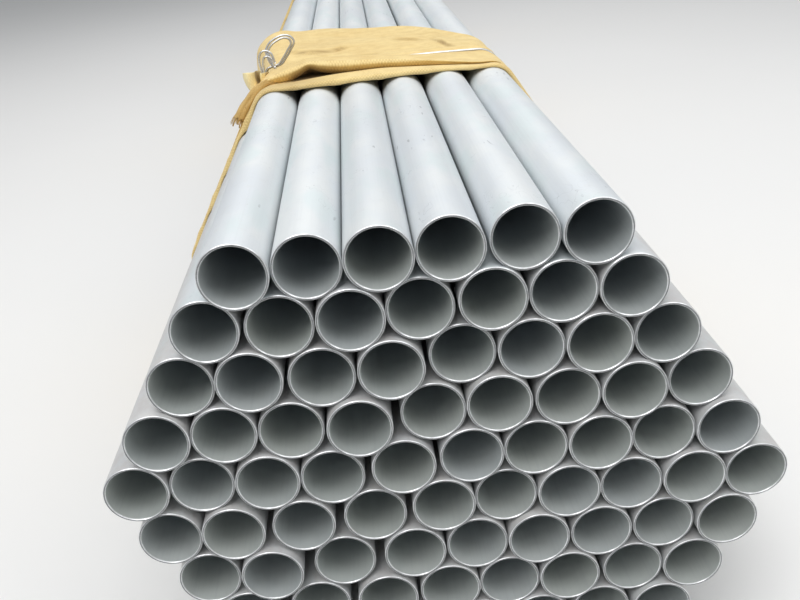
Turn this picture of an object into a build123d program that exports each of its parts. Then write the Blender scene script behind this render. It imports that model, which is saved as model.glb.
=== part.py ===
from build123d import *
from collections import namedtuple
import math
import os

# A bundle of round steel pipes, stacked in ten rows and held by three cloth wraps and wire ties.
# Millimetres. +Z is up, +Y runs along the pipes away from the near ends, +X is to the right of
# someone who looks into the near ends. The origin is the bottom centre of the bundle's box.

# Pipe stock
pipe_diameter = 73.0
pipe_wall = 3.05
pipe_length = 6000.0
pipe_gap = 0.3

# Each row from the top: its pipes, where it starts from the top row's first pipe in half pitches,
# how far it has crept sideways, and the gaps that opened after some of its pipes
Row = namedtuple("Row", "pipes half_steps creep openings")
rows = [
    Row(6, 0, -2.0, {4: 3.0, 5: 1.0}),
    Row(7, -1, -7.0, {1: 4.0, 2: 1.0, 4: 3.0, 5: 1.0}),
    Row(8, -2, -8.5, {2: 4.0, 3: 1.5, 4: 4.5, 5: 1.0, 7: 1.0}),
    Row(9, -3, -10.5, {3: 2.0, 4: 9.0, 6: 3.0, 8: 2.5}),
    Row(10, -4, -10.5, {4: 8.0, 5: 4.5}),
    Row(10, -3, -24.0, {2: 8.0, 3: 10.5, 4: 7.0}),
    Row(9, -2, -27.5, {1: 2.0, 2: 13.0, 3: 11.0, 4: 1.5, 6: 2.0, 7: 2.0, 8: 2.5}),
    Row(8, -1, -27.0, {1: 13.5, 2: 9.0, 3: 3.5, 6: 5.5}),
    Row(7, 0, -20.0, {1: 11.0, 2: 5.0, 3: 2.0, 5: 2.0, 6: 3.0}),
    Row(6, 1, -29.0, {1: 23.0, 2: 2.0, 5: 2.0}),
]

# How unevenly the pipes' ends line up: a step that repeats, and the pipes that stand out most
end_steps = [0.0, 2.0, -2.0, 3.0, -1.0, 1.5, -3.0]
standing_out = {(1, 1): -8.0, (3, 5): 7.0, (4, 4): -6.0, (4, 9): 6.0, (6, 6): 5.0, (7, 2): -7.0}

# Cloth wraps, from the near end of the bundle
wrap_starts = {"front": 680.0, "middle": 2700.0, "rear": 4720.0}
wrap_width = 600.0
cloth_thickness = 2.5
cloth_gap = 0.3
hem_width = 40.0
hem_thickness = 7.0

# Wire ties, two strands side by side over each wrap
wire_diameter = 4.0
wire_gap = 0.3
strand_gap = 0.3
tie_from_wrap_edge = 180.0

# Eye and hook of each tie, standing on the left shoulder. Each point is sideways from the top row's
# first pipe, up from the strands' line and back in layers of wire, with the bend radius there.
Bend = namedtuple("Bend", "across up layers radius")
hook_bends = [Bend(-9.0, 14.0, -1, None), Bend(-13.0, 40.0, -1, 7.0), Bend(-30.0, 37.0, -1, 7.0)]
eye_bends = [
    Bend(-5.0, 0.0, 0, 9.0),
    Bend(-17.0, 42.0, 0, 16.0),
    Bend(2.0, 62.0, 0.3, 20.0),
    Bend(36.0, 62.0, 0.7, 12.0),
    Bend(-7.0, 6.0, 1, 20.0),
]
shoulder_radius = 25.0
hook_foot_radius = 15.0
hook_foot_drop = 5.0
tail_length = 60.0
layer_gap = 1.0

pitch = pipe_diameter + pipe_gap
pipe_radius = pipe_diameter / 2
wire_radius = wire_diameter / 2
strand_step = wire_diameter + strand_gap
layer_step = strand_step + wire_diameter + layer_gap


def row_places(row):
    """Sideways places of a row's pipes."""
    x = row.half_steps * pitch / 2 + row.creep
    places = [x]
    for number in range(1, row.pipes):
        x += pitch + row.openings.get(number, 0.0)
        places.append(x)
    return places


def settle(places, below):
    """Centres of a row's pipes, each dropped until it meets a pipe of the row below."""
    centres = []
    for x in places:
        meets = [bz + math.sqrt(pitch**2 - (x - bx) ** 2) for bx, bz in below if abs(x - bx) < pitch]
        centres.append((x, max(meets)))
    return centres


def stack_rows():
    """Centres of all pipes, row by row from the top, with the bottom row at height nought."""
    stacked = [[(x, 0.0) for x in row_places(rows[-1])]]
    for row in reversed(rows[:-1]):
        stacked.insert(0, settle(row_places(row), stacked[0]))
    return stacked


def end_offset(row_number, pipe_number):
    """How far a pipe's near end stands back from the even line."""
    usual = end_steps[(3 * row_number + pipe_number) % len(end_steps)]
    return standing_out.get((row_number, pipe_number), usual)


def make_pipe():
    """One pipe along +Y from the origin."""
    section = Plane.XZ * (Circle(pipe_radius) - Circle(pipe_radius - pipe_wall))
    return extrude(section, amount=-pipe_length)


def corner_pipes(centres):
    """The pipe furthest out in each of six directions, clockwise from the top left."""
    directions = [math.radians(120 - 60 * side) for side in range(6)]
    return [max(centres, key=lambda c: c[0] * math.cos(a) + c[1] * math.sin(a)) for a in directions]


def outline_points(centres, clearance):
    """Corners of the six-sided line that runs round the pipes, this far outside them."""
    corners = corner_pipes(centres)
    lines = []
    for start, end in zip(corners, corners[1:] + corners[:1]):
        run = Vector(end[0] - start[0], end[1] - start[1]).normalized()
        outward = Vector(-run.Y, run.X)
        reach = max(outward.X * x + outward.Y * z for x, z in centres) + pipe_radius + clearance
        lines.append((outward, reach))
    points = []
    for (n1, d1), (n2, d2) in zip(lines[-1:] + lines[:-1], lines):
        cross = n1.X * n2.Y - n1.Y * n2.X
        points.append(((d1 * n2.Y - d2 * n1.Y) / cross, (n1.X * d2 - n2.X * d1) / cross))
    return points


def outline_face(centres, clearance):
    """The outline as a face with its corners rounded about the corner pipes."""
    face = make_face(Polyline(outline_points(centres, clearance), close=True))
    return fillet(face.vertices(), pipe_radius + clearance)


def make_band(centres, start, width, thickness):
    """A band of cloth round the bundle."""
    section = outline_face(centres, cloth_gap + thickness) - outline_face(centres, cloth_gap)
    return Pos(0, start, 0) * extrude(Plane.XZ * section, amount=-width)


def make_wrap(centres, start):
    """A cloth wrap with a rolled hem along each edge."""
    wrap = make_band(centres, start, wrap_width, cloth_thickness)
    for hem_start in (start, start + wrap_width - hem_width):
        wrap += make_band(centres, hem_start, hem_width, hem_thickness)
    return wrap


def tie_route(centres, y):
    """Points and bend radii of a strand: hook, left side, bottom, right side, top, eye and tail."""
    clearance = cloth_gap + cloth_thickness + wire_gap + wire_radius
    top_left, top_right, right, bottom_right, bottom_left, left = outline_points(centres, clearance)
    foot_x = centres[0][0]
    side = Vector(left[0] - top_left[0], left[1] - top_left[1]).normalized()

    def down_side(distance, layers):
        return (top_left[0] + side.X * distance, y + layers * layer_step, top_left[1] + side.Y * distance)

    def stand(bend):
        return (foot_x + bend.across, y + bend.layers * layer_step, top_left[1] + bend.up), bend.radius

    route = [stand(bend) for bend in hook_bends]
    route.append((down_side(hook_foot_drop, -1), hook_foot_radius))
    route.append(((left[0], y - layer_step, left[1]), pipe_radius + clearance))
    for x, z in (bottom_left, bottom_right, right, top_right):
        route.append(((x, y, z), pipe_radius + clearance))
    route += [stand(bend) for bend in eye_bends]
    route.append((down_side(0.0, 1), shoulder_radius))
    route.append((down_side(tail_length, 1), None))
    return [point for point, radius in route], [radius for point, radius in route if radius]


def make_strand(centres, y):
    """One wire strand of a tie."""
    points, bends = tie_route(centres, y)
    path = FilletPolyline(*points, radius=bends)
    section = Plane(path @ 0, z_dir=path % 0) * Circle(wire_radius)
    return sweep(section, path=path)


def make_tie(centres, y):
    """A tie of two strands side by side."""
    return [make_strand(centres, y), make_strand(centres, y + strand_step)]


def build_nodes():
    """All solids of the bundle, by node name, before they are moved to the origin."""
    stacked = stack_rows()
    centres = [centre for row in stacked for centre in row]
    pipe = make_pipe()
    nodes = {}
    for row_number, row in enumerate(stacked, 1):
        nodes[f"pipe_row_{row_number}"] = [
            Pos(x, end_offset(row_number, number), z) * pipe for number, (x, z) in enumerate(row, 1)
        ]
    for name, start in wrap_starts.items():
        nodes[f"wrap_{name}"] = [make_wrap(centres, start)]
        nodes[f"tie_wire_{name}"] = make_tie(centres, start + tie_from_wrap_edge)
    return nodes


nodes = build_nodes()
whole = Compound([solid for shape in nodes.values() for part in shape for solid in part.solids()])
box = whole.bounding_box()
to_origin = Pos(-(box.min.X + box.max.X) / 2, -(box.min.Y + box.max.Y) / 2, -box.min.Z)
os.makedirs("parts", exist_ok=True)
for name, shapes in nodes.items():
    solids = [solid for shape in shapes for solid in (to_origin * shape).solids()]
    export_step(Compound(solids), f"parts/{name}.step")
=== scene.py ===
import bmesh
import bpy
import math
import numpy as np
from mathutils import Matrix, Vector, noise


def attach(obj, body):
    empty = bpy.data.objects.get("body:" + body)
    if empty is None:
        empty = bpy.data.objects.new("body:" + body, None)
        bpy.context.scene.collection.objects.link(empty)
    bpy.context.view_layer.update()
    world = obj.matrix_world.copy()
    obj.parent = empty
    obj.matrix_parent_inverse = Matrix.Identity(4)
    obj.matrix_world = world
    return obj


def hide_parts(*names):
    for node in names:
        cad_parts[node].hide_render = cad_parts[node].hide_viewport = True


# The looks of a bundle of round steel pipes with cloth wraps and wire ties.
# Metres, in the solids' own frame: +Y along the pipes, +X to the right, +Z up.

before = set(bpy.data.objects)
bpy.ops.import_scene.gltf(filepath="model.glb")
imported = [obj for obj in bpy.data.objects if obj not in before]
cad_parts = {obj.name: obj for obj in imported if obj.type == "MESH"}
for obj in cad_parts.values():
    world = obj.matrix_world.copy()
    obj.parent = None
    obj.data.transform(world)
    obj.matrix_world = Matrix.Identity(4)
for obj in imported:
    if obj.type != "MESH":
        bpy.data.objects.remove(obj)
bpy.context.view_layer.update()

# Pipe stock and its cut ends
pipe_radius = 0.0365
bore_radius = 0.03345
outer_chamfer = 0.0008
inner_chamfer = 0.0010
inner_bevel = inner_chamfer * 0.9
end_tilt = 0.0003
around_pipe = 112
smooth_up_to = math.radians(25)

# Materials of a pipe's faces, in the order of its slots
OUTSIDE, CUT, BORE, EDGE = range(4)

# Wraps and ties, measured along +Y from the even line of the near ends
near_line = -2.9995
cloth_clear = 0.0003
sack_thickness = 0.0010
strip_thickness = 0.0009
wrap_starts = {"front": 0.680, "middle": 2.700, "rear": 4.720}
tie_from_wrap_edge = 0.180
wire_radius = 0.002
strand_step = 0.0043
layer_gap = 0.001
layer_step = strand_step + 2 * wire_radius + layer_gap
wire_height = 0.0038
eye_foot_height = 0.0051


# Shader helpers

class Nodes:
    """Short calls for building a material's nodes."""

    def __init__(self, name):
        self.material = bpy.data.materials.new(name)
        self.material.use_nodes = True
        self.tree = self.material.node_tree
        self.shader = self.tree.nodes["Principled BSDF"]

    def add(self, kind, **settings):
        """A new node, with inputs and settings given by name."""
        node = self.tree.nodes.new(kind)
        for key, value in settings.items():
            if key in node.inputs:
                self.put(node.inputs[key], value)
            else:
                setattr(node, key, value)
        return node

    def put(self, socket, value):
        """Links another node's output to a socket, or gives it a plain value."""
        if isinstance(value, bpy.types.NodeSocket):
            self.tree.links.new(value, socket)
        else:
            socket.default_value = value

    def fill(self, node, *values):
        """Gives a node its first inputs in order."""
        for socket, value in zip(node.inputs, values):
            self.put(socket, value)
        return node.outputs[0]

    def set(self, **inputs):
        """Gives the material's own shader inputs by name."""
        for key, value in inputs.items():
            self.put(self.shader.inputs[key.replace("_", " ")], value)

    def math(self, operation, a, b=0.0, c=0.0):
        return self.fill(self.add("ShaderNodeMath", operation=operation), a, b, c)

    def mix(self, factor, a, b):
        node = self.add("ShaderNodeMix", data_type="RGBA")
        self.put(node.inputs[0], factor)
        self.put(node.inputs[6], a)
        self.put(node.inputs[7], b)
        return node.outputs[2]

    def moved(self, vector, offset):
        return self.fill(self.add("ShaderNodeVectorMath", operation="ADD"), vector, offset)

    def stretch(self, vector, scale):
        return self.add("ShaderNodeMapping", Vector=vector, Scale=scale).outputs[0]

    def noise(self, vector, scale, detail=3.0, roughness=0.5):
        node = self.add("ShaderNodeTexNoise", Vector=vector, Scale=scale, Detail=detail, Roughness=roughness)
        return node.outputs["Fac"]

    def bump(self, height, distance, strength=1.0):
        return self.add("ShaderNodeBump", Height=height, Distance=distance, Strength=strength).outputs[0]

    def band(self, value, low, high, out_low=0.0, out_high=1.0):
        """A smooth step as a value goes from low to high, where high may be the smaller one."""
        node = self.add("ShaderNodeMapRange", interpolation_type="SMOOTHSTEP")
        return self.fill(node, value, low, high, out_low, out_high)

    def tint(self, colour, value, none_at, full_at, share, other):
        """A colour mixed toward another, by a share that grows from nought between two values."""
        return self.mix(self.band(value, none_at, full_at, 0.0, share), colour, other)

    def place(self):
        """Where a point lies, in metres."""
        return self.add("ShaderNodeTexCoord").outputs["Object"]

    def value(self, name):
        """A value stored at the mesh's points."""
        return self.add("ShaderNodeAttribute", attribute_name=name).outputs["Fac"]

    def part(self, vector, axis):
        return self.add("ShaderNodeSeparateXYZ", Vector=vector).outputs[axis]

    def upward(self):
        """One where a face looks straight up, nought where it looks sideways, less where it looks down."""
        return self.part(self.add("ShaderNodeNewGeometry").outputs["Normal"], "Z")


def rgb(r, g, b):
    return (r, g, b, 1.0)


# Materials

def pickled_steel():
    """Outside of the pipes: matt pickled stainless with faint stains, streaks and scuffs.

    The rows below the top one are darker and warmer, with dust and painted shade, and faces that look
    sideways are darker with painted shade.
    """
    m = Nodes("pickled_steel")
    tone = m.value("tone")
    shift = m.add("ShaderNodeCombineXYZ", X=m.math("MULTIPLY", tone, 7.0)).outputs[0]
    place = m.moved(m.place(), shift)
    cloud = m.noise(m.stretch(place, (1.0, 0.45, 1.0)), 13.0, 4.0, 0.6)
    stain = m.noise(m.stretch(place, (1.0, 0.35, 1.0)), 21.0, 2.0)
    mottle = m.noise(m.stretch(place, (1.0, 0.7, 1.0)), 70.0, 4.0, 0.65)
    streak = m.noise(m.stretch(place, (1.0, 0.012, 1.0)), 420.0, 3.0, 0.6)
    colour = m.mix(m.band(cloud, 0.35, 0.65), rgb(0.672, 0.706, 0.735), rgb(0.712, 0.733, 0.735))
    colour = m.tint(colour, stain, 0.48, 0.66, 0.75, rgb(0.640, 0.705, 0.712))
    colour = m.tint(colour, mottle, 0.52, 0.74, 0.55, rgb(0.655, 0.675, 0.685))
    colour = m.tint(colour, streak, 0.45, 0.8, 0.18, rgb(0.58, 0.60, 0.62))
    spots = m.noise(m.stretch(place, (1.0, 0.8, 1.0)), 170.0, 2.0, 0.6)
    worn = m.band(m.noise(m.stretch(place, (1.0, 0.5, 1.0)), 17.0, 2.0), 0.56, 0.64)
    scuffs = m.math("MULTIPLY", m.band(spots, 0.62, 0.70), worn)
    colour = m.mix(m.math("MULTIPLY", scuffs, 0.22), colour, rgb(0.42, 0.44, 0.46))
    wander = m.noise(m.stretch(place, (1.0, 0.55, 1.0)), 85.0, 1.0)
    off_line = m.math("ABSOLUTE", m.math("SUBTRACT", wander, 0.56))
    scratched = m.band(m.noise(place, 12.0, 1.0), 0.60, 0.66)
    loops = m.math("MULTIPLY", m.band(off_line, 0.010, 0.002), scratched)
    colour = m.mix(m.math("MULTIPLY", loops, 0.45), colour, rgb(0.38, 0.40, 0.42))
    dashes = m.noise(m.stretch(place, (1.6, 0.35, 1.6)), 130.0, 0.0)
    rubbed = m.band(m.noise(place, 8.0, 1.0), 0.60, 0.68)
    rubs = m.math("MULTIPLY", m.band(dashes, 0.75, 0.78), rubbed)
    colour = m.mix(m.math("MULTIPLY", rubs, 0.45), colour, rgb(0.24, 0.25, 0.27))
    # Dust and painted shade: the rows below the top one go toward a darker warm grey, for the shade of the
    # rows above.
    below_top_row = m.band(m.part(place, "Z"), 0.594, 0.580)
    dust = m.math("MULTIPLY", below_top_row, m.band(mottle, 0.35, 0.65, 0.42, 0.68))
    colour = m.mix(dust, colour, rgb(0.56, 0.53, 0.51))
    bright = m.band(tone, 0.0, 1.0, 0.955, 1.035)
    colour = m.add("ShaderNodeHueSaturation", Color=colour, Value=bright).outputs[0]
    # Painted shade: faces that look sideways or down go toward a darker grey.
    colour = m.tint(colour, m.upward(), 0.62, 0.05, 0.42, rgb(0.34, 0.37, 0.38))
    grain = m.math("ADD", m.math("MULTIPLY", streak, 0.7), m.math("MULTIPLY", spots, 0.3))
    m.set(Base_Color=colour, Metallic=0.22, Normal=m.bump(grain, 0.0003, 0.5))
    m.set(Roughness=m.band(cloud, 0.3, 0.7, 0.44, 0.56))
    return m.material


def bore_steel():
    """Inside of the pipes: the same steel, duller, with drawn lines, and painted shade that turns it darker
    and bluer away from the ends.
    """
    m = Nodes("bore_steel")
    place, tone = m.place(), m.value("tone")
    cloud = m.noise(m.stretch(place, (1.0, 0.5, 1.0)), 11.0, 3.0, 0.5)
    line = m.noise(m.stretch(place, (1.0, 0.02, 1.0)), 300.0, 2.0, 0.5)
    colour = m.mix(m.band(tone, 0.15, 0.45), rgb(0.455, 0.484, 0.462), rgb(0.460, 0.492, 0.476))
    colour = m.mix(m.band(tone, 0.55, 0.85), colour, rgb(0.457, 0.488, 0.490))
    colour = m.tint(colour, cloud, 0.4, 0.62, 0.5, rgb(0.492, 0.516, 0.496))
    colour = m.tint(colour, line, 0.45, 0.75, 0.25, rgb(0.375, 0.40, 0.41))
    # Painted shade: deeper into the bore the colour goes darker and bluer.
    from_middle = m.math("ABSOLUTE", m.part(place, "Y"))
    colour = m.tint(colour, from_middle, 2.975, 2.87, 0.8, rgb(0.395, 0.445, 0.485))
    m.set(Base_Color=colour, Metallic=0.08, Normal=m.bump(line, 0.0002, 0.4))
    m.set(Roughness=m.band(cloud, 0.3, 0.7, 0.5, 0.62))
    return m.material


def cut_steel():
    """Sawn ends: grey metal with fine marks."""
    m = Nodes("cut_steel")
    place = m.place()
    cloud = m.noise(place, 60.0, 3.0, 0.6)
    fine = m.noise(m.stretch(place, (1.0, 0.1, 1.0)), 900.0, 2.0, 0.5)
    colour = m.mix(m.band(cloud, 0.35, 0.7), rgb(0.25, 0.26, 0.27), rgb(0.18, 0.19, 0.19))
    colour = m.tint(colour, fine, 0.5, 0.8, 0.4, rgb(0.18, 0.18, 0.18))
    m.set(Base_Color=colour, Metallic=0.4, Normal=m.bump(fine, 0.0002, 0.5))
    m.set(Roughness=m.band(cloud, 0.3, 0.7, 0.38, 0.50))
    return m.material


def filed_steel():
    """Edges of the cut ends, where the burr was taken off: bright bare metal."""
    m = Nodes("filed_steel")
    place = m.place()
    cloud = m.noise(place, 110.0, 3.0, 0.6)
    fine = m.noise(place, 700.0, 2.0, 0.5)
    colour = m.mix(m.band(cloud, 0.35, 0.7), rgb(0.84, 0.85, 0.86), rgb(0.64, 0.65, 0.65))
    m.set(Base_Color=colour, Metallic=0.6, Normal=m.bump(fine, 0.0001, 0.5))
    m.set(Roughness=m.band(cloud, 0.3, 0.7, 0.34, 0.46))
    return m.material


def wire_steel():
    """Bright galvanised tie wire, with painted shade on its underside."""
    m = Nodes("wire_steel")
    place = m.place()
    cloud = m.noise(place, 70.0, 3.0, 0.6)
    fine = m.noise(place, 700.0, 2.0, 0.6)
    colour = m.mix(m.band(cloud, 0.35, 0.7), rgb(0.80, 0.80, 0.79), rgb(0.62, 0.62, 0.61))
    colour = m.tint(colour, fine, 0.55, 0.8, 0.4, rgb(0.42, 0.41, 0.40))
    # Painted shade: faces that look down go toward a dark brown.
    colour = m.tint(colour, m.upward(), 0.05, -0.5, 0.6, rgb(0.16, 0.14, 0.12))
    m.set(Base_Color=colour, Metallic=0.9, Normal=m.bump(fine, 0.0002, 0.4))
    m.set(Roughness=m.band(cloud, 0.3, 0.7, 0.24, 0.42))
    return m.material


def woven_cloth(name, fresh, aged, dirt, weave_depth=1.0):
    """Sacking woven from flat plastic tapes, from the cloth's own flat coordinates in metres."""
    m = Nodes(name)
    place = m.place()
    flat = m.add("ShaderNodeUVMap", uv_map="flat").outputs[0]
    tape = 0.0027
    uneven = m.math("MULTIPLY", m.noise(m.stretch(flat, (60.0, 60.0, 1.0)), 1.0, 2.0), 2.2)
    waves = [
        m.math("SINE", m.math("MULTIPLY_ADD", m.part(flat, axis), math.pi / tape, uneven)) for axis in "XY"
    ]
    across, along = (m.math("ABSOLUTE", wave) for wave in waves)
    over = m.math("MULTIPLY", waves[0], waves[1])
    gaps = m.band(m.math("MINIMUM", across, along), 0.0, 0.45)
    weave = m.math("ADD", m.math("MULTIPLY", over, 0.5), m.math("MULTIPLY", gaps, 0.5))
    cloud = m.noise(place, 9.0, 4.0, 0.6)
    wear = m.noise(place, 38.0, 4.0, 0.65)
    tapes = m.noise(m.stretch(flat, (330.0, 7.0, 1.0)), 1.0, 1.0)
    colour = m.mix(m.band(cloud, 0.35, 0.68), rgb(*fresh), rgb(*aged))
    colour = m.tint(colour, tapes, 0.4, 0.8, 0.15, rgb(*aged))
    colour = m.tint(colour, wear, 0.56, 0.76, dirt, rgb(0.42, 0.24, 0.08))
    pits = m.math("MULTIPLY", m.band(weave, 0.55, 0.05), m.band(wear, 0.35, 0.6, 0.12, 0.42))
    colour = m.mix(m.math("MULTIPLY", pits, weave_depth), colour, rgb(0.42, 0.25, 0.08))
    # Painted shade: by the stored value the cloth goes toward dark brown in its creases, in the hollow under
    # the pleat's lip, on the hem beside the left shoulder, before the wire and inside the flap's curl.
    colour = m.mix(m.value("grime"), colour, rgb(0.20, 0.105, 0.025))
    specks = m.noise(place, 210.0, 1.0)
    colour = m.tint(colour, specks, 0.74, 0.80, 0.5, rgb(0.30, 0.16, 0.06))
    height = m.math("ADD", weave, m.math("MULTIPLY", wear, 0.5))
    m.set(Base_Color=colour, Sheen_Weight=0.1, Specular_IOR_Level=0.3, Normal=m.bump(height, 0.0005, 0.6))
    m.set(Roughness=m.band(wear, 0.3, 0.7, 0.58, 0.75))
    return m.material


def floor_material():
    """Pale and almost even."""
    m = Nodes("floor")
    cloud = m.noise(m.place(), 0.8, 3.0)
    m.set(Base_Color=m.mix(cloud, rgb(0.79, 0.785, 0.775), rgb(0.82, 0.815, 0.805)), Roughness=0.9)
    return m.material


# Meshes

def add_object(name, data):
    """Anything placed in the scene."""
    thing = bpy.data.objects.new(name, data)
    bpy.context.scene.collection.objects.link(thing)
    return thing


def add_piece(name, vertices, faces, materials, indices=None):
    """A smooth shaded mesh, with the material index of each face if given."""
    mesh = bpy.data.meshes.new(name)
    mesh.from_pydata([tuple(v) for v in vertices], [], [tuple(f) for f in faces])
    for material in materials:
        mesh.materials.append(material)
    if indices is not None:
        mesh.polygons.foreach_set("material_index", indices)
    mesh.polygons.foreach_set("use_smooth", [True] * len(mesh.polygons))
    mesh.update()
    return add_object(name, mesh)


def point_values(mesh, name, values):
    """Stores one value for each point, under a name that a material can read."""
    layer = mesh.attributes.new(name, "FLOAT", "POINT")
    layer.data.foreach_set("value", values)


def rows_of_faces(rows, columns, close_rows=False, close_columns=False):
    """Quads of a grid of points numbered row by row."""
    faces = []
    for i in range(rows if close_rows else rows - 1):
        for j in range(columns if close_columns else columns - 1):
            k = (i + 1) % rows
            n = (j + 1) % columns
            faces.append((i * columns + j, i * columns + n, k * columns + n, k * columns + j))
    return faces


# Pipes

def pipe_places(node):
    """Centre x, near y, centre z and far y of each solid pipe in a row, from left to right."""
    mesh = bmesh.new()
    mesh.from_mesh(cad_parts[node].data)
    same_point = 0.00002
    bmesh.ops.remove_doubles(mesh, verts=mesh.verts[:], dist=same_point)
    left = set(mesh.verts)
    found = []
    while left:
        group = [left.pop()]
        for vertex in group:
            for edge in vertex.link_edges:
                other = edge.other_vert(vertex)
                if other in left:
                    left.remove(other)
                    group.append(other)
        spots = np.array([vertex.co for vertex in group])
        middle = (spots.min(0) + spots.max(0)) / 2
        found.append((middle[0], spots[:, 1].min(), middle[2], spots[:, 1].max()))
    mesh.free()
    return sorted(found)


def pipe_profile(near, far):
    """Corners of a pipe's wall as radius and y, with the material of the face to the next one."""
    bevel_radius = bore_radius + inner_bevel
    return [
        (bore_radius, near + inner_chamfer, EDGE),
        (bevel_radius, near, CUT),
        (pipe_radius - outer_chamfer, near, EDGE),
        (pipe_radius, near + outer_chamfer, OUTSIDE),
        (pipe_radius, far - outer_chamfer, EDGE),
        (pipe_radius - outer_chamfer, far, CUT),
        (bevel_radius, far, EDGE),
        (bore_radius, far - inner_chamfer, BORE),
    ]


def make_row(number, materials):
    """One row of pipes with chamfered cut ends, whose near ends lean a little from square."""
    node = f"pipe_row_{number}"
    vertices, faces, indices, tones = [], [], [], []
    angles = np.linspace(0, 2 * math.pi, around_pipe, endpoint=False)
    for x, near, z, far in row_places[node]:
        lean = noise.random_vector() * end_tilt / pipe_radius
        profile = pipe_profile(near, far)
        start = len(vertices)
        for radius, y, _ in profile:
            right, up = radius * np.cos(angles), radius * np.sin(angles)
            ring = np.stack([x + right, np.full(around_pipe, y), z + up], 1)
            if y < (near + far) / 2:
                ring[:, 1] += lean.x * right + lean.z * up
            vertices.extend(ring.tolist())
        for face in rows_of_faces(len(profile), around_pipe, close_rows=True, close_columns=True):
            faces.append([start + i for i in face])
            indices.append(profile[face[0] // around_pipe][2])
        tones.extend([noise.random()] * len(profile) * around_pipe)
    row = add_piece(f"row_{number}_pipes", vertices, faces, materials, indices)
    row.data.set_sharp_from_angle(angle=smooth_up_to)
    point_values(row.data, "tone", tones)
    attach(row, "root")
    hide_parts(node)


# The line round the bundle that wraps and ties follow

def furthest(centres):
    """The pipe furthest out in each of six directions, clockwise from the top left."""
    directions = [math.radians(120 - 60 * side) for side in range(6)]
    return [max(centres, key=lambda c: c[0] * math.cos(a) + c[1] * math.sin(a)) for a in directions]


def outer_pipes(centres):
    """The pipes that a tight band touches, clockwise from the bottom left."""
    ordered = sorted(centres)
    halves = []
    for run in (ordered, ordered[::-1]):
        half = []
        for point in run:
            while len(half) > 1:
                before = Vector(half[-1]) - Vector(half[-2])
                after = Vector(point) - Vector(half[-1])
                if before.x * after.y - before.y * after.x < 0:
                    break
                half.pop()
            half.append(point)
        halves.append(half[:-1])
    hull = halves[0] + halves[1]
    first = hull.index(min(hull, key=lambda c: (round(c[1], 4), c[0])))
    return hull[first:] + hull[:first]


class Outline:
    """Places round the bundle, by distance from the bottom's middle, clockwise seen from the near ends.

    The line is made of straight edges, and of turns about the outer pipes.
    """

    names = ["top_left", "top_right", "right", "bottom_right", "bottom_left", "left"]

    def __init__(self, centres):
        self.centres = np.array(centres)
        self.corners = {name: Vector(pipe) for name, pipe in zip(self.names, furthest(centres))}
        self.radius = pipe_radius + cloth_clear
        hull = [Vector(pipe) for pipe in outer_pipes(centres)]
        begin = (hull[0] + hull[-1]) / 2
        stops = [begin] + hull + [begin]
        self.parts, self.turn, self.edge_start = [], {}, {}
        s = 0.0
        for i in range(len(stops) - 1):
            run = stops[i + 1] - stops[i]
            heading = math.atan2(run.y, run.x)
            self.parts.append((s, s + run.length, "edge", stops[i], heading))
            for name, corner in self.corners.items():
                if stops[i] == corner:
                    self.edge_start[name] = s
            s += run.length
            if i < len(hull):
                after = stops[i + 2] - stops[i + 1]
                bend = (heading - math.atan2(after.y, after.x)) % (2 * math.pi)
                self.parts.append((s, s + bend * self.radius, "turn", stops[i + 1], heading))
                for name, corner in self.corners.items():
                    if stops[i + 1] == corner:
                        self.turn[name] = s + bend * self.radius / 2
                s += bend * self.radius
        self.length = s

    def at(self, s):
        """The centre line's point and the outward direction at distance s."""
        s = s % self.length
        rounding = 1e-12
        for start, end, kind, point, heading in self.parts:
            if s <= end + rounding:
                break
        if kind == "edge":
            along = Vector((math.cos(heading), math.sin(heading)))
            return point + along * (s - start), Vector((-along.y, along.x))
        heading -= (s - start) / self.radius
        return point, Vector((-math.sin(heading), math.cos(heading)))

    def top(self, x):
        """Distance at which the top edge passes x."""
        return self.edge_start["top_left"] + x - self.corners["top_left"].x

    def over_pipe(self, pipes):
        """Distance at which the top edge passes a place in pipe widths from the first pipe."""
        return self.top(self.corners["top_left"].x + 2 * pipe_radius * pipes)

    def spot(self, s, y, height):
        """A point in space: y from the near line and height above the pipes."""
        point, outward = self.at(s)
        place = point + outward * (self.radius + height)
        return Vector((place.x, near_line + y, place.y))

    def hollow(self, s):
        """How far it is from the line inward to the nearest pipe."""
        point, outward = self.at(s)
        away = np.array(point + outward * self.radius) - self.centres
        inward = away @ np.array(outward)
        missed = (away**2).sum(1) - inward**2
        met = missed < pipe_radius**2
        return max(0.0, (inward[met] - np.sqrt(pipe_radius**2 - missed[met])).min())


# Smooth runs between chosen values

def slopes(knots, values):
    """Slopes at the knots of a smooth run through values, whose first axis is the knots'."""
    steps = np.diff(knots)
    rates = np.diff(values, axis=0) / steps.reshape([-1] + [1] * (values.ndim - 1))
    result = np.zeros_like(values)
    result[0], result[-1] = rates[0], rates[-1]
    for i in range(1, len(knots) - 1):
        a, b = steps[i - 1], steps[i]
        result[i] = (rates[i - 1] * b + rates[i] * a) / (a + b)
    return result


def smooth_run(knots, values, at):
    """Values at new places along a smooth run through the knots."""
    knots, values = np.asarray(knots, float), np.asarray(values, float)
    slope = slopes(knots, values)
    i = np.clip(np.searchsorted(knots, at, side="right") - 1, 0, len(knots) - 2)
    width = knots[i + 1] - knots[i]
    t = (at - knots[i]) / width
    shape = [-1] + [1] * (values.ndim - 1)
    t, width = t.reshape(shape), width.reshape(shape)
    return (
        (2 * t**3 - 3 * t**2 + 1) * values[i]
        + (t**3 - 2 * t**2 + t) * width * slope[i]
        + (-2 * t**3 + 3 * t**2) * values[i + 1]
        + (t**3 - t**2) * width * slope[i + 1]
    )


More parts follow.
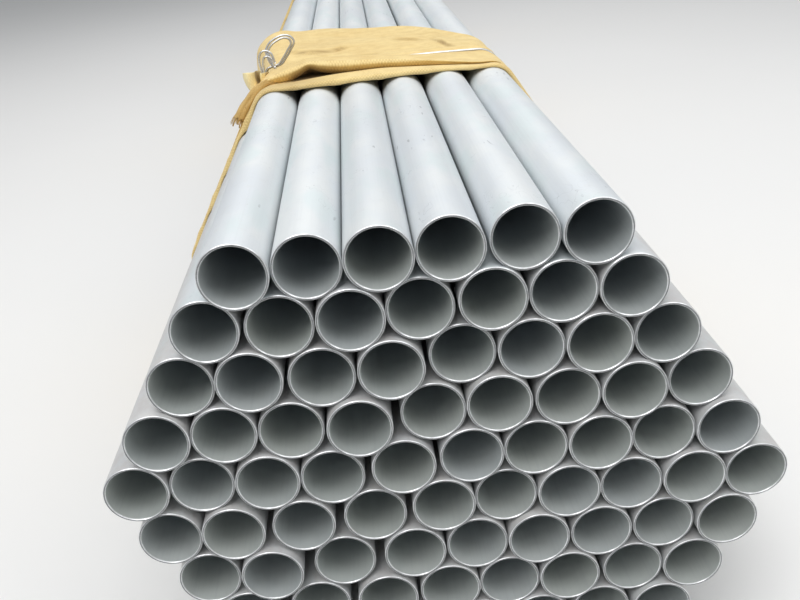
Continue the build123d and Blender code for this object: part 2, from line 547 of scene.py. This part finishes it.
def closed_run(knots, values, at, length):
    """The same round a closed line."""
    knots, values = list(knots), [list(v) for v in values]
    knots = [knots[-2] - length, knots[-1] - length] + knots + [knots[0] + length, knots[1] + length]
    values = values[-2:] + values + values[:2]
    return smooth_run(knots, values, at)


def running_total(steps):
    """Distances to the ends of steps that follow each other, from nought."""
    return np.concatenate([[0], np.cumsum(steps)])


def round_path(points, step):
    """Evenly spaced points of a smooth run through chosen points."""
    points = np.array([tuple(p) for p in points])
    knots = running_total(np.linalg.norm(np.diff(points, axis=0), axis=1))
    count = max(4, int(knots[-1] / step))
    return smooth_run(knots, points, np.linspace(0, knots[-1], count + 1))


# Cloth wraps

# Shape of a wrap's section along the pipes at one place round the bundle, in millimetres: where the
# front hem lies, how thick it is and where it ends, where the pleat's lip hangs over it and how high
# its lower and upper edges stand, how high the cloth is before the wire, and where the rear edge lies
FIELDS = ["hem", "hem_high", "hem_end", "lip", "lip_low", "lip_back", "lip_top", "crest", "rear"]
HEM, LIP_LOW, REAR = (FIELDS.index(name) for name in ("hem", "lip_low", "rear"))
HEIGHTS = [FIELDS.index(name) for name in ("hem_high", "lip_low", "lip_top", "crest")]

# How finely the section is divided between its chosen points, and which of them ends the hem
SECTION_STEPS = [
    2, 3, 2, 2, 3, 3, 3, 2, 3, 2, 2, 3, 3, 3, 4, 3, 3, 5, 4, 3, 3, 4, 8, 21, 15, 6, 4, 2, 2, 3
]
HEM_POINT = 7

# How dark the cloth is painted in the hollow under the pleat's lip, as painted shade, at chosen points of
# its section
LIP_POINTS = [6, 8, 12, 13, 14, 15, 16]
LIP_GRIME = [0.0, 0.8, 0.8, 0.5, 0.3, 0.12, 0.05]


def wrap_stations(line):
    """Sections at chosen places round the bundle."""
    top = line.over_pipe

    def between(first, second, share):
        return line.turn[first] * (1 - share) + line.turn[second] * share

    mid = line.turn
    return [
        (0.0, (690, 5.8, 728, 752, 3.4, 758, 4.8, 3.2, 1276)),
        (mid["bottom_left"], (690, 5.9, 728, 752, 3.4, 758, 4.8, 3.2, 1278)),
        (between("bottom_left", "left", 0.5), (690, 6.5, 728, 752, 3.8, 758, 5.2, 3.4, 1280)),
        (mid["left"], (691, 5.0, 728, 752, 3.8, 758, 5.0, 3.4, 1285)),
        (between("left", "top_left", 0.45), (691, 4.2, 728, 754, 4.0, 762, 5.4, 4.2, 1300)),
        (between("left", "top_left", 0.8), (692, 5.2, 728, 756, 5.0, 764, 7.5, 5.0, 1310)),
        (mid["top_left"], (695, 6.4, 728, 752, 6.4, 764, 11.5, 7.5, 1318)),
        (top(0.05), (693, 6.2, 728, 748, 6.8, 760, 17.0, 10.0, 1322)),
        (top(0.30), (691, 6.2, 728, 747, 7.8, 760, 22.0, 13.0, 1332)),
        (top(0.58), (690, 6.8, 731, 750, 15.0, 764, 26.5, 15.5, 1340)),
        (top(0.85), (688, 7.4, 736, 754, 24.5, 768, 31.0, 17.0, 1342)),
        (top(1.12), (687, 7.8, 742, 752, 18.5, 768, 29.5, 16.5, 1336)),
        (top(1.50), (687, 8.2, 748, 750, 12.0, 767, 27.0, 16.0, 1316)),
        (top(2.00), (688, 8.2, 750, 751, 9.6, 766, 23.5, 15.0, 1288)),
        (top(2.50), (690, 8.0, 750, 752, 8.6, 765, 20.5, 12.0, 1268)),
        (top(3.50), (692, 7.2, 732, 740, 7.0, 747, 15.0, 5.4, 1238)),
        (top(4.40), (686, 6.0, 712, 713, 5.6, 717, 10.5, 4.1, 1140)),
        (top(4.95), (684, 5.6, 706, 706, 5.0, 711, 7.5, 3.7, 1058)),
        (mid["top_right"], (686, 6.5, 710, 712, 5.0, 718, 7.0, 3.6, 1008)),
        (between("top_right", "right", 0.3), (690, 7.0, 722, 730, 4.8, 738, 6.6, 3.0, 1040)),
        (mid["right"], (690, 6.6, 728, 752, 3.8, 758, 5.2, 3.4, 1200)),
        (between("right", "bottom_right", 0.5), (690, 6.2, 728, 752, 3.6, 758, 5.0, 3.2, 1260)),
        (mid["bottom_right"], (690, 5.8, 728, 752, 3.4, 758, 4.8, 3.2, 1272)),
    ]


def section_points(v, dip, tie):
    """Chosen points of the section as y and height, from the tucked front edge to the rear one."""
    hem, high, end, lip, low, back, top, crest, rear = (v[..., i] for i in range(len(FIELDS)))
    zero = np.zeros_like(hem)
    fold = lip + 34 + 1.3 * np.clip(low - 8, 0, None)
    rise = top - low
    points = [
        (hem + 40, zero + 1.0),
        (hem + 12, 1.0 - 0.6 * dip),
        (hem + 1.5, 0.15 * high - dip),
        (hem, 0.50 * high - 0.5 * dip),
        (hem + 1.5, 0.85 * high),
        (hem + 11, high),
        (end - 9, np.minimum(high, low + np.clip(lip - end, 0, 30) - 0.4)),
        (end, np.minimum(0.85 * high, low - 1.6)),
        (end + 9, np.minimum(0.5 * high, low - 1.6)),
        (fold - 8, zero + 2.3),
        (fold - 1, zero + 2.9),
        (fold - 8, zero + 3.8),
        (lip + 0.5 * (fold - lip), np.maximum(0.55 * low, 3.8)),
        (lip + 0.45 * rise, np.maximum(low - 0.4, 3.8)),
        (lip + 0.22 * rise, low + 0.22 * rise),
        (lip, low + 0.60 * rise),
        (back - 8, low + 0.93 * rise),
        (back, top),
        (zero + tie - 30, 0.5 * (top + crest)),
        (zero + tie - 12, crest),
        (zero + tie - 4, zero + 0.95),
        (zero + tie + 5, zero + 0.85),
        (zero + tie + 13, zero + 3.6),
        (zero + tie + 60, zero + 3.8),
        (0.5 * (tie + rear), zero + 2.6),
        (rear - 70, zero + 2.0),
        (rear - 30, zero + 2.6),
        (rear - 4, zero + 3.4),
        (rear, zero + 2.4),
        (rear - 5, zero + 1.2),
        (rear - 22, zero + 1.0),
    ]
    return np.stack([np.stack(p, -1) for p in points], 0)


def along_section(points, counts):
    """Points along each smooth section, the same number in each part of it."""
    lengths = np.linalg.norm(np.diff(points, axis=0), axis=-1).mean(1)
    knots = running_total(lengths)
    places = []
    for i, count in enumerate(counts):
        places.extend(np.linspace(knots[i], knots[i + 1], count, endpoint=False))
    places.append(knots[-1])
    return smooth_run(knots, points, np.array(places))


def groove(s, y, start, end, depth, width):
    """A soft crease between two places on the cloth in metres, deepest midway."""
    a, b = np.array(start), np.array(end)
    run = b - a
    t = np.clip(((s - a[0]) * run[0] + (y - a[1]) * run[1]) / (run @ run), 0, 1)
    away = np.hypot(s - a[0] - t * run[0], y - a[1] - t * run[1])
    return -depth * np.sin(math.pi * np.clip(t, 0.03, 0.97)) * np.exp(-((away / width) ** 2))


def hump(s, y, place, size, height):
    """A soft swelling of the cloth: s in metres, y and height in millimetres."""
    return height * np.exp(-(((s - place[0]) / size[0]) ** 2) - ((y - place[1]) / size[1]) ** 2)


def fold(s, y, points, height, reach):
    """A crease along points in metres: a step up that dies away behind it, and painted shade along its line.
    """
    across, back = np.array(points).T
    slope = np.interp(s, (across[1:] + across[:-1]) / 2, np.diff(back) / np.diff(across))
    away = (y - np.interp(s, across, back)) / np.hypot(1.0, slope)
    fade, softness, dirty_width = 0.025, 0.0022, 0.0052
    ends = np.clip((s - across[0]) / fade, 0, 1) * np.clip((across[-1] - s) / fade, 0, 1)
    step = 1 / (1 + np.exp(-np.clip(away / softness, -30, 30))) * np.exp(-np.clip(away, 0, None) / reach)
    dent = 0.45 * np.exp(-(((away + 0.008) / 0.008) ** 2))
    # Painted shade along the crease's line.
    dirt = np.exp(-(((away + 0.002) * (1 + 0.15 * abs(slope)) / dirty_width) ** 2))
    return height * ends * (step - dent), ends * dirt


# Creases across the top of the cloth: places in pipe widths from the first pipe and metres from the
# near line, how high the step is in millimetres, how far it reaches, and how dark its painted shade is
FOLDS = [
    ([(0.05, 1.012), (0.75, 1.000), (1.45, 1.005), (1.95, 1.025)], 5.5, 0.050, 0.65),
    ([(1.70, 0.915), (2.30, 0.912), (2.90, 0.912)], 2.5, 0.030, 0.30),
    ([(2.90, 1.060), (3.40, 1.045), (4.05, 1.000)], 4.0, 0.035, 0.45),
    ([(4.02, 1.030), (4.25, 0.960), (4.45, 0.915), (4.68, 0.885)], 6.0, 0.035, 0.85),
]

# Shallow grooves in it: their two ends, placed in the same way, how deep in millimetres and how wide
GROOVES = [
    ((1.6, 1.18), (3.2, 1.10), 2.0, 0.022),
    ((0.3, 0.93), (1.6, 0.95), 2.0, 0.016),
    ((3.0, 0.93), (4.0, 0.94), 1.6, 0.014),
    ((0.6, 1.24), (2.4, 1.17), 1.6, 0.020),
]


def loose_wire(line, s):
    """Nought where the cloth before the wire hides it, and one elsewhere."""
    hidden = (line.turn["top_left"] - 0.03, line.turn["top_right"] - 0.14)
    return 1 - np.clip((s - hidden[0]) / 0.02, 0, 1) * np.clip((hidden[1] - s) / 0.03, 0, 1)


def cloth_swell(line, s, y, tie, rear):
    """How the cloth swells and creases, in millimetres, and the painted shade in its creases."""
    top, shoulder, right = line.over_pipe, line.turn["top_left"], line.turn["top_right"]
    swell = hump(s, y, (shoulder - 0.030, 1225), (0.048, 125), 36.0)
    swell += hump(s, y, (shoulder + 0.03, 1020), (0.05, 70), 6.0)
    swell += hump(s, y, (top(1.4), 1060), (0.14, 60), 4.0)
    swell += hump(s, y, (top(4.2), 960), (0.05, 50), 3.0)
    swell += hump(s, y, (top(0.8), 1285), (0.065, 60), 5.0)
    metre = y / 1000
    grime = np.zeros_like(y)
    for line_points, height, reach, dirty in FOLDS:
        step, dirt = fold(s, metre, [(top(x), at) for x, at in line_points], height, reach)
        swell += step
        grime = np.maximum(grime, dirt * dirty)
    for a, b, depth, width in GROOVES:
        swell += groove(s, metre, (top(a[0]), a[1]), (top(b[0]), b[1]), depth, width)
    behind = np.clip((y - tie - 12) / 30, 0, 1) * np.clip((rear - y) / 25, 0, 1)
    before = groove(s, metre, (top(4.9), 0.835), (right + 0.012, 0.700), 2.4, 0.006)
    before += groove(s, metre, (top(2.2), 0.815), (top(4.0), 0.790), 1.5, 0.008)
    return swell * behind + before * (y < tie - 12), grime * behind


def room_under(line, s):
    """How high the cloth may stand off the pipes, in millimetres: least where the bundle rests on it."""
    from_bottom = np.minimum(s, line.length - s)
    corner = max(line.turn["bottom_left"], line.length - line.turn["bottom_right"])
    return np.interp(from_bottom, [0, corner + 0.005, corner + 0.03], [6.3, 6.3, 60.0])


def wire_drift(line, s):
    """How far a tie has slipped toward the near ends at places round the bundle."""
    return 0.016 * np.exp(-(((s - line.turn["top_right"]) / 0.16) ** 2))


def make_sheet(name, places, cloth, thickness, rounds=None, grime=None):
    """Cloth through a grid of places, with flat coordinates in metres; closed if given distances round."""
    places = np.array(places)
    rows, columns = places.shape[:2]
    closed = rounds is not None
    faces = rows_of_faces(rows, columns, close_columns=closed)
    piece = add_piece(name, places.reshape(-1, 3), faces, [cloth])
    down = running_total(np.linalg.norm(np.diff(places, axis=0), axis=-1).mean(1))
    across = rounds
    if not closed:
        across = running_total(np.linalg.norm(np.diff(places, axis=1), axis=-1).mean(0))
    values = []
    for i in range(rows - 1):
        for j in range(columns if closed else columns - 1):
            for row, column in ((i, j), (i, j + 1), (i + 1, j + 1), (i + 1, j)):
                values.extend((across[column], down[row]))
    piece.data.uv_layers.new(name="flat").data.foreach_set("uv", values)
    point_values(piece.data, "grime", np.zeros(rows * columns) if grime is None else grime.ravel())
    thick = piece.modifiers.new("thickness", "SOLIDIFY")
    thick.thickness = thickness
    thick.offset = 0.0
    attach(piece, "root")
    return piece


def wrap_rounds(line, spacing, top_spacing):
    """Distances round the bundle, closer together across the top."""
    first, last = line.turn["top_left"] - 0.07, line.turn["top_right"] + 0.06
    stops = []
    for a, b, step in ((0.0, first, spacing), (first, last, top_spacing), (last, line.length, spacing)):
        stops.extend(np.linspace(a, b, round((b - a) / step), endpoint=False))
    return np.array(stops)


def own_sections(line, rounds, seed):
    """Sections all round the bundle, with edges that wander in each wrap's own way."""
    stations = wrap_stations(line)
    values = closed_run([s for s, v in stations], [v for s, v in stations], rounds, line.length)
    seam = np.sin(math.pi * rounds / line.length) ** 0.5
    hem_drift = np.array([noise.noise(Vector((seed, 5 * s, 0.0))) for s in rounds])
    rear_drift = np.array([noise.noise(Vector((seed, 4 * s, 3.0))) for s in rounds])
    values[:, HEM] += 5.0 * hem_drift * seam
    values[:, REAR] += 9.0 * rear_drift * seam
    return values


def wrinkles(s, y, seed):
    """Small unevenness of the cloth, in millimetres."""
    heights = np.zeros_like(y)
    for j in range(y.shape[0]):
        for i in range(y.shape[1]):
            p = Vector((s[j, i] * 7, y[j, i] * 0.012, seed))
            heights[j, i] = noise.noise(p) * 0.8 + noise.noise(p * 2.7) * 0.2
    return heights


def settled_grime(line, rounds, y, h, tie, lip_low, row_ends):
    """Painted shade under the pleat's lip, on the hem beside the left shoulder, and before the wire."""
    rows = np.arange(len(y))
    # Painted shade in the hollow under the pleat's lip.
    in_hollow = np.interp(rows, row_ends[LIP_POINTS], LIP_GRIME)[:, None]
    under_lip = in_hollow * np.clip((lip_low - 7.0) / 5.0, 0, 1)
    # Painted shade on the hem beside the left shoulder.
    rubbed = 0.34 * np.exp(-(((rounds - line.turn["top_left"] - 0.045) / 0.060) ** 2))
    on_hem = rubbed * (rows < row_ends[HEM_POINT])[:, None]
    # Painted shade in the groove just before the wire.
    at_wire = 0.75 * np.exp(-(((y - tie + 13) / 6.5) ** 2)) * (h > 0.8) * loose_wire(line, rounds)
    return np.maximum(np.maximum(under_lip, on_hem), at_wire)


def make_wrap(name, line, start, cloth, spacing, fineness, seed, side_height=1.0):
    """A woven sack folded round the bundle, with a pleat in front of its tie."""
    offset = (start - wrap_starts["front"]) * 1000
    pair_middle = 2
    deepest_dip = 11.0
    rounds = wrap_rounds(line, *spacing)
    tie = (wrap_starts["front"] + tie_from_wrap_edge - wire_drift(line, rounds)) * 1000 + pair_middle
    left_face = (rounds > line.turn["left"]) & (rounds < line.turn["top_left"])
    height_share = np.where(left_face, side_height, 1.0)
    values = own_sections(line, rounds, seed)
    values[:, HEIGHTS] *= height_share[:, None]
    dip = np.array([min(0.5 * 1000 * line.hollow(s), deepest_dip) for s in rounds])
    dip = dip * np.where(left_face, 1.0, 0.15)
    counts = [max(2, round(count * fineness)) for count in SECTION_STEPS]
    section = along_section(section_points(values, dip, tie), counts)
    y, h = section[..., 0], section[..., 1]
    s = np.broadcast_to(rounds, y.shape)
    free = np.clip((h - 2.0) / 6.0, 0, 1)
    loose = np.clip(np.abs(y - tie) / 25 - 0.3, 0, 1) * np.clip((h - 1.2) / 1.5, 0, 1)
    swell, creases = cloth_swell(line, s, y, tie, values[:, REAR])
    h = h + (swell * (h > 1.3) + wrinkles(s, y, seed) * loose * (0.5 + free)) * height_share
    settled = settled_grime(line, rounds, y, h, tie, values[:, LIP_LOW], running_total(counts))
    h = np.clip(h, 0.75 - dip, room_under(line, rounds))
    places = [
        [line.spot(*place) for place in zip(rounds, (row_y + offset) / 1000, row_h / 1000)]
        for row_y, row_h in zip(y, h)
    ]
    grime = np.maximum(creases, settled)
    piece = make_sheet(name, places, cloth, sack_thickness, [*rounds, line.length], grime)
    return piece


# The pleat's loose end, rolled up and hanging over the left shoulder: distance round from the
# shoulder and back from the near line in metres, and height above the pipes in millimetres
TAIL = [
    (0.020, 0.760, 6.0),
    (0.008, 0.755, 8.0),
    (-0.007, 0.749, 10.5),
    (-0.024, 0.742, 13.5),
    (-0.042, 0.736, 16.5),
    (-0.056, 0.731, 18.0),
    (-0.066, 0.728, 17.5),
]
tail_radius = 0.0096
tail_turns = 1.3
around_tail = 42

# The threads that fray from the tail's end
fray_count = 18
fray_ring = 0.0075
fray_width = 0.0011
fray_thickness = 0.00025


def square_to(along):
    """Two directions square to a run down the bundle's side, and to each other."""
    side = Vector((0, 1, 0)).cross(along).normalized()
    return side, along.cross(side)


def make_tail(line, cloth):
    """The rolled tail and its frayed threads."""
    shoulder = line.turn["top_left"]
    path = round_path([line.spot(shoulder + s, y, h / 1000) for s, y, h in TAIL], 0.0025)
    places = []
    for i, point in enumerate(path):
        along = Vector(path[min(i + 1, len(path) - 1)] - path[max(i - 1, 0)]).normalized()
        side, forth = square_to(along)
        share = i / (len(path) - 1)
        row = []
        for angle in np.linspace(0, 2 * math.pi * tail_turns, around_tail):
            ripple = noise.noise(Vector((math.cos(angle) * 1.6, math.sin(angle) * 1.6, share * 5)))
            flute = 0.10 * math.cos(4 * angle + 2 * share)
            rolled = tail_radius * (1 - 0.06 * angle)
            radius = rolled * (1 + 0.25 * ripple + flute) * (0.58 + 0.50 * share)
            end = max(0.0, share - 0.9) * 0.05 * noise.noise(Vector((angle * 2.5, 0, 4.0)))
            out = side * math.cos(angle + 2.6) + forth * math.sin(angle + 2.6) * 0.9
            row.append(Vector(point) + out * radius + along * end)
        places.append(row)
    tail = make_sheet("front_tail", places, cloth, strip_thickness)
    fringe = make_fringe(Vector(path[-1]), Vector(path[-4]), cloth)


def make_fringe(end, before, cloth):
    """Flat threads in a ring round the tail's end, fanned out and drooping."""
    along = (end - before).normalized()
    side, forth = square_to(along)
    corners = ((-1, -1), (1, -1), (1, 1), (-1, 1))
    shares = (0.0, 0.35, 0.7, 1.0)
    vertices, faces = [], []
    for k in range(fray_count):
        angle = 2 * math.pi * k / fray_count + 0.3 * noise.random()
        out = side * math.cos(angle) + forth * math.sin(angle)
        root = end + out * fray_ring - along * 0.004
        lean = out * (0.3 * noise.random()) + along
        length = 0.009 + 0.008 * noise.random()
        wide = (side * -math.sin(angle) + forth * math.cos(angle)) * fray_width
        thick = out * fray_thickness
        first = len(vertices)
        for share in shares:
            centre = root + lean * length * share - Vector((0, 0, 0.003)) * share**2
            taper = 1 - 0.45 * share
            for a, b in corners:
                vertices.append(centre + wide * a * taper + thick * b)
        for face in rows_of_faces(len(shares), len(corners), close_columns=True):
            faces.append([first + i for i in face])
        last = len(vertices) - len(corners)
        faces.append([first + i for i in range(len(corners))][::-1])
        faces.append([last + i for i in range(len(corners))])
    fringe = add_piece("front_tail_fringe", vertices, faces, [cloth])
    values = []
    for polygon in fringe.data.polygons:
        for v in polygon.vertices:
            values.extend(fringe.data.vertices[v].co.xz)
    fringe.data.uv_layers.new(name="flat").data.foreach_set("uv", values)
    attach(fringe, "root")
    return fringe


# The flap's middle line from its root: sideways from the first pipe, back from the front hem, and up
# from the top of the pipes, and half its height there, all in millimetres
FLAP = [
    (-14, 138, 8, 5),
    (-21, 115, 9, 7),
    (-25, 106, 8.5, 8.5),
    (-27, 112, 7, 9.5),
    (-27.5, 134, 6, 10),
    (-34, 141, 5.5, 11),
    (-37.5, 116, 6.5, 12.5),
    (-41, 101, 7, 14.5),
    (-47, 96, 5, 18),
    (-53, 101, 8, 14),
    (-57, 115, 10, 9),
    (-55, 128, 9, 7),
]
across_flap = 13


def make_flap(line, cloth):
    """A strip of sacking caught under the wire on the left shoulder, curled outward."""
    corner = line.corners["top_left"]
    across, back, up, half = np.array(FLAP).T / 1000
    top = corner.y + line.radius
    front = near_line + wrap_starts["front"]
    path = round_path(np.stack([corner.x + across, front + back, top + up, half], 1), 0.002)
    places, grime = [], []
    for i, (x, y, z, half) in enumerate(path):
        share = i / (len(path) - 1)
        # Painted shade inside the flap's curl, where it folds back on itself.
        inside = min(1.0, max(0.0, (y - front - 0.117) / 0.008)) * (share < 0.62)
        grime.append([0.6 * inside] * across_flap)
        down = Vector((-0.02 + 0.20 * share, -0.05, -1.0)).normalized()
        row = []
        for t in np.linspace(-1, 1, across_flap):
            cup = 0.0020 * (1 - t * t) + 0.0012 * noise.noise(Vector((share * 4, t * 1.5, 7.0)))
            row.append(Vector((x, y, z)) + down * (half * t) + Vector((-0.6, -0.7, 0.2)) * cup)
        places.append(row)
    flap = make_sheet("front_flap", places, cloth, strip_thickness, grime=np.array(grime))


# Tie wires

def tube(name, path, radius, material, sides=12):
    """A round wire along a path of points, closed flat at its ends."""
    path = [Vector(p) for p in path]
    normal = None
    vertices = []
    for i, point in enumerate(path):
        before, after = path[max(i - 1, 0)], path[min(i + 1, len(path) - 1)]
        along = (after - before).normalized()
        if normal is None:
            normal = along.orthogonal().normalized()
        normal = (normal - along * normal.dot(along)).normalized()
        side = along.cross(normal)
        for k in range(sides):
            a = 2 * math.pi * k / sides
            vertices.append(point + (normal * math.cos(a) + side * math.sin(a)) * radius)
    faces = rows_of_faces(len(path), sides, close_columns=True)
    faces.append(tuple(range(sides)))
    last = (len(path) - 1) * sides
    faces.append(tuple(range(last + sides - 1, last - 1, -1)))
    return add_piece(name, vertices, faces, [material])


# The eye's two strands on the left shoulder, sideways from the first pipe and up from the wire's line
# in millimetres: the inner strand, the outer strand, and how far back in layers of wire
EYE = [
    ((-4, 3), (-6, 4), 0.0),
    ((-8, 13), (-12, 12), 0.0),
    ((-12, 25), (-17, 26), 0.0),
    ((-14, 35), (-18, 37), 0.1),
    ((-7, 46), (-11, 49), 0.15),
    ((5, 53.5), (2, 57.5), 0.25),
    ((18, 57), (18, 61), 0.4),
    ((27, 54), (30, 57.5), 0.55),
    ((30, 47), (35.5, 48), 0.65),
    ((22, 34), (27, 33), 0.75),
    ((11, 20), (16, 19), 0.9),
    ((1, 10), (6, 9), 1.0),
    ((-9, 7.5), (-6, 6), 1.0),
    ((-19, 5), (-18, 4), 1.0),
]

# The hook that catches the eye, from its end, with both strands placed as the eye's
HOOK = [
    ((-5, 9), (-4, 15)),
    ((-6.5, 17), (-6, 26)),
    ((-9, 24), (-9, 34)),
    ((-13, 28), (-15, 38)),
    ((-18, 29.5), (-22.5, 39)),
    ((-22, 27.5), (-28.5, 34.5)),
    ((-24.5, 21), (-31.5, 26.5)),
    ((-25.5, 12), (-32, 15.5)),
    ((-26, 3), (-30.5, 5)),
]


def tie_path(line, y, strand, seed):
    """A strand's way: hook, down the left side, round the bundle, across the top, eye and tail."""
    corner = line.corners["top_left"]
    level = corner.y + line.radius + eye_foot_height
    shift = strand * strand_step

    def stand(place, layers):
        """A point of the hook or the eye, up from the shoulder."""
        back = near_line + y + shift + layers * layer_step
        return Vector((corner.x + place[0] / 1000, back, level + place[1] / 1000))

    def lying(s, layers=0.0):
        """A point on the cloth."""
        wave = 0.0007 * noise.noise(Vector((seed, 9 * s, strand * 3.0)))
        back = y + shift + layers * layer_step + wave - wire_drift(line, s % line.length)
        return line.spot(s, back, wire_height)

    def wound(s):
        """A point on the cloth, in line with the hook at the start and with the top further round."""
        return lying(s, -1.0 + min(1.0, max(0.0, (hook_foot - 0.1 - s) / 0.25)))

    shoulder = line.turn["top_left"]
    hook_foot = shoulder - 0.022
    eye_foot = line.top(corner.x + 0.006) - line.length
    tail_start, tail_end = shoulder - 0.014, shoulder - 0.070
    hook = [stand(pair[strand], -1.0) for pair in HOOK]
    wrapped = [wound(s) for s in np.arange(hook_foot, eye_foot, -0.012)]
    eye = [stand(row[strand], row[2]) for row in EYE]
    tail = [lying(s, 1.0) for s in np.arange(tail_start, tail_end, -0.010)]
    return round_path(hook + wrapped + eye + tail, 0.003)


def make_ties(name, line, start, steel, seed):
    """A tie of two strands side by side over a wrap."""
    first = None
    for strand in (0, 1):
        path = tie_path(line, start + tie_from_wrap_edge, strand, seed)
        wire = tube(f"tie_{name}_strand_{strand + 1}", path, wire_radius, steel)
        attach(wire, "root")
        if first is None:
            first = wire
    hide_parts(f"tie_wire_{name}")


# Camera and stage

def make_camera():
    """A close view down onto the near ends."""
    data = bpy.data.cameras.new("camera")
    data.sensor_width = 36.0
    data.lens = 39.66
    camera = add_object("camera", data)
    camera.location = (-0.0462, -3.8174, 0.9562)
    camera.rotation_euler = [math.radians(a) for a in (64.48, 5.99, -3.64)]
    bpy.context.scene.camera = camera


def make_floor():
    """A pale plane just under the bundle."""
    half, drop = 40.0, 0.0005
    corners = [(-half, -half, 0), (half, -half, 0), (half, half, 0), (-half, half, 0)]
    mesh = bpy.data.meshes.new("floor")
    mesh.from_pydata(corners, [], [(0, 1, 2, 3)])
    mesh.materials.append(floor_material())
    floor = add_object("floor", mesh)
    floor.location.z = -drop


def make_lamp(label, place, aim, size, energy):
    """A rectangular light at a place, turned toward its aim."""
    data = bpy.data.lights.new(label, "AREA")
    data.shape = "RECTANGLE"
    data.size, data.size_y = size
    data.energy = energy
    lamp = add_object(label, data)
    lamp.location = place
    lamp.rotation_euler = (Vector(aim) - Vector(place)).to_track_quat("-Z", "Y").to_euler()


def make_stage():
    """The plane, the lights and a pale sky."""
    make_floor()
    make_lamp("key", (-1.8, -5.6, 5.8), (0, -2.0, 0.4), (4.0, 4.0), 212.0)
    make_lamp("fill", (3.6, -4.4, 5.2), (0, -1.6, 0.4), (4.0, 4.0), 114.0)
    make_lamp("over", (0.0, 0.6, 6.0), (0, -0.3, 0.0), (4.0, 7.0), 184.0)
    world = bpy.data.worlds.new("world")
    bpy.context.scene.world = world
    world.use_nodes = True
    sky = world.node_tree.nodes["Background"]
    sky.inputs["Color"].default_value = rgb(0.94, 0.97, 1.0)
    sky.inputs["Strength"].default_value = 0.37
    bpy.context.scene.view_settings.view_transform = "Standard"


# Each wrap: how far apart its points are round the bundle and across the top, how finely its section
# is divided, its seed, and how full its cloth is on the left side
WRAPS = [
    ("front", (0.0074, 0.0036), 1.0, 1.7, 1.0),
    ("middle", (0.0090, 0.0080), 0.6, 4.4, 0.35),
    ("rear", (0.0090, 0.0080), 0.6, 8.1, 0.35),
]
TIE_SEEDS = {"front": 2.0, "middle": 5.0, "rear": 9.0}

noise.seed_set(5)
row_places = {f"pipe_row_{n}": pipe_places(f"pipe_row_{n}") for n in range(1, 11)}
steels = [pickled_steel(), cut_steel(), bore_steel(), filed_steel()]
for number in range(1, 11):
    make_row(number, steels)

centres = [(x, z) for places in row_places.values() for x, near, z, far in places]
line = Outline(centres)
cloth = woven_cloth("woven_sack", (0.875, 0.685, 0.315), (0.83, 0.62, 0.26), 0.14)
for name, spacing, fineness, seed, side in WRAPS:
    wrap = make_wrap(f"wrap_{name}_sack", line, wrap_starts[name], cloth, spacing, fineness, seed, side)
    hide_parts(f"wrap_{name}")
make_tail(line, woven_cloth("aged_sack", (0.63, 0.44, 0.17), (0.53, 0.34, 0.115), 0.45))
make_flap(line, woven_cloth("pale_sack", (0.97, 0.84, 0.48), (0.93, 0.77, 0.37), 0.10, 0.4))
wire = wire_steel()
for name, seed in TIE_SEEDS.items():
    make_ties(name, line, wrap_starts[name], wire, seed)
make_camera()
make_stage()
